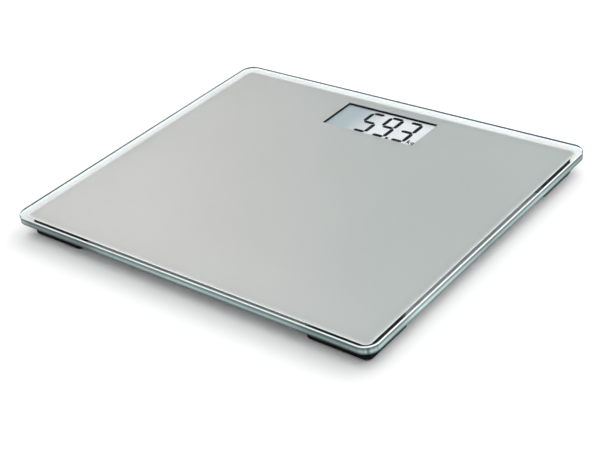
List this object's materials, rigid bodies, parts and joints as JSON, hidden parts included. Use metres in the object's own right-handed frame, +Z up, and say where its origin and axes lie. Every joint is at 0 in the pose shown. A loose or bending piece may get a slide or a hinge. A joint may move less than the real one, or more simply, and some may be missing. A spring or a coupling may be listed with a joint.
{
  "type": "digital bathroom scale",
  "caption": "Flat digital bathroom scale: glass platform over a silver film on load-cell feet, with a display under the glass, a sliding battery door and a unit button.",
  "frame": {"origin": "on the floor, under the middle of the platform", "axes": "+X to the right along the long side, +Y towards the edge with the display, +Z up"},
  "size_m": [0.31, 0.26, 0.018],
  "materials": {
    "clear_glass": "polished",
    "silver_film": "fine satin silver print",
    "foam": "matte foam",
    "black_plastic": "fine textured moulding",
    "lcd_glass": "polished, blue-grey",
    "segment_ink": "flat",
    "light_guide": "white",
    "zebra_rubber": "striped silicone",
    "solder_mask": "glossy green solder mask",
    "chip_epoxy": "moulded epoxy",
    "component_body": "ceramic and nylon",
    "screw_steel": "zinc plated",
    "switch_plastic": "moulded",
    "button_plastic": "fine textured moulding",
    "cell_can": "nickel plated",
    "contact_nickel": "nickel plated spring",
    "gauge_foil": "foil on polyimide",
    "plate_steel": "nickel plated sheet",
    "retainer_plastic": "moulded",
    "pad_rubber": "matte rubber",
    "wire_insulation": "red, white and black insulation"
  },
  "bodies": {
    "root": {"glass_platform": "clear_glass", "silver_film": "silver_film", "window_gasket": "foam", "display_frame": "black_plastic", "lcd_panel": "lcd_glass", "lcd_segments": "segment_ink", "lcd_backlight": "light_guide", "zebra_strips": "zebra_rubber", "main_board": "solder_mask", "controller_chip": "chip_epoxy", "board_components": "component_body", "board_screws": "screw_steel", "unit_switch": "switch_plastic", "electronics_housing": "black_plastic", "housing_tape": "foam", "coin_cell": "cell_can", "battery_contact_positive": "contact_nickel", "battery_contact_negative": "contact_nickel", "strain_gauges": "gauge_foil", "retainer_screws": "screw_steel", "foot_housing_front_left": "black_plastic", "foot_housing_front_right": "black_plastic", "foot_housing_rear_left": "black_plastic", "foot_housing_rear_right": "black_plastic", "foot_tape_front_left": "foam", "foot_tape_front_right": "foam", "foot_tape_rear_left": "foam", "foot_tape_rear_right": "foam", "load_cell_front_left": "plate_steel", "load_cell_front_right": "plate_steel", "load_cell_rear_left": "plate_steel", "load_cell_rear_right": "plate_steel", "cell_retainer_front_left": "retainer_plastic", "cell_retainer_front_right": "retainer_plastic", "cell_retainer_rear_left": "retainer_plastic", "cell_retainer_rear_right": "retainer_plastic", "wire_harness_front_left": "wire_insulation", "wire_harness_front_right": "wire_insulation", "wire_harness_rear_left": "wire_insulation", "wire_harness_rear_right": "wire_insulation", "wire_duct_front_left": "black_plastic", "wire_duct_front_right": "black_plastic", "wire_duct_rear_left": "black_plastic", "wire_duct_rear_right": "black_plastic"},
    "foot_front_left": {"foot_pedestal_front_left": "black_plastic", "rubber_pad_front_left": "pad_rubber"},
    "foot_front_right": {"foot_pedestal_front_right": "black_plastic", "rubber_pad_front_right": "pad_rubber"},
    "foot_rear_left": {"foot_pedestal_rear_left": "black_plastic", "rubber_pad_rear_left": "pad_rubber"},
    "foot_rear_right": {"foot_pedestal_rear_right": "black_plastic", "rubber_pad_rear_right": "pad_rubber"},
    "unit_button": {"unit_button": "button_plastic"},
    "battery_door": {"battery_door": "black_plastic"}
  },
  "joints": [
    {"name": "foot_press_front_left", "type": "slide", "parent": "root", "child": "foot_front_left", "axis": [0, 0, 1], "range_m": [0, 0.0005], "stiffness_N_per_m": 200000, "deforming": ["load_cell_front_left"]},
    {"name": "foot_press_front_right", "type": "slide", "parent": "root", "child": "foot_front_right", "axis": [0, 0, 1], "range_m": [0, 0.0005], "stiffness_N_per_m": 200000, "deforming": ["load_cell_front_right"]},
    {"name": "foot_press_rear_left", "type": "slide", "parent": "root", "child": "foot_rear_left", "axis": [0, 0, 1], "range_m": [0, 0.0005], "stiffness_N_per_m": 200000, "deforming": ["load_cell_rear_left"]},
    {"name": "foot_press_rear_right", "type": "slide", "parent": "root", "child": "foot_rear_right", "axis": [0, 0, 1], "range_m": [0, 0.0005], "stiffness_N_per_m": 200000, "deforming": ["load_cell_rear_right"]},
    {"name": "unit_button_press", "type": "slide", "parent": "root", "child": "unit_button", "axis": [0, 0, 1], "range_m": [0, 0.0004], "stiffness_N_per_m": 2000},
    {"name": "battery_door_slide", "type": "slide", "parent": "root", "child": "battery_door", "axis": [0, -1, 0], "range_m": [0, 0.024]}
  ]
}
